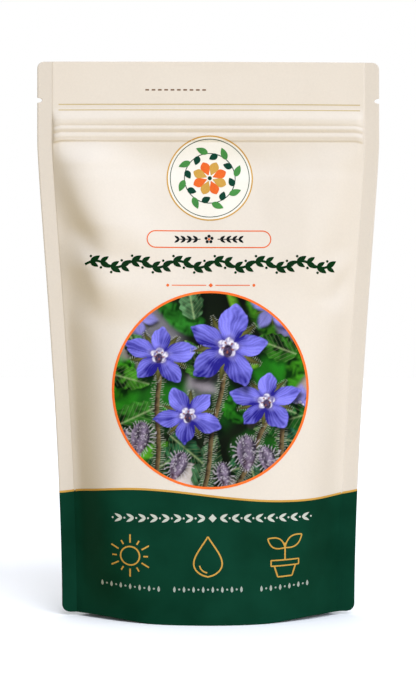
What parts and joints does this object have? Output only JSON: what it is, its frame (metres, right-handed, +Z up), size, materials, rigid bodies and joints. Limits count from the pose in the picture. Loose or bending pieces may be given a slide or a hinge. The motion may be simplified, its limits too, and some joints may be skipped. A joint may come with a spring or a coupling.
{
  "type": "stand-up seed pouch",
  "caption": "Sealed stand-up pouch of flower seeds, with side seals, a press-to-close zip under its tear notches and an opened bottom gusset.",
  "frame": {"origin": "on the ground at the middle of the footprint, where the side seals' plane crosses the middle of the width", "axes": "+Z up along the pouch's height, +X to the right across its width, +Y from the printed front to the back"},
  "size_m": [0.13, 0.0568, 0.21],
  "materials": {
    "printed_film": "matt laminated film, printed cream above and dark green below a thin gold line",
    "gusset_film": "matt laminated film, printed dark green",
    "zip_plastic": "extruded translucent polyethylene",
    "seed_husk": "dry wrinkled brown-black nutlets"
  },
  "bodies": {
    "root": {"front_web": "printed_film", "back_web": "printed_film", "bottom_gusset": "gusset_film", "zip_groove_strip": "zip_plastic", "zip_ridge_strip": "zip_plastic", "seed_fill": "seed_husk"}
  },
  "joints": []
}
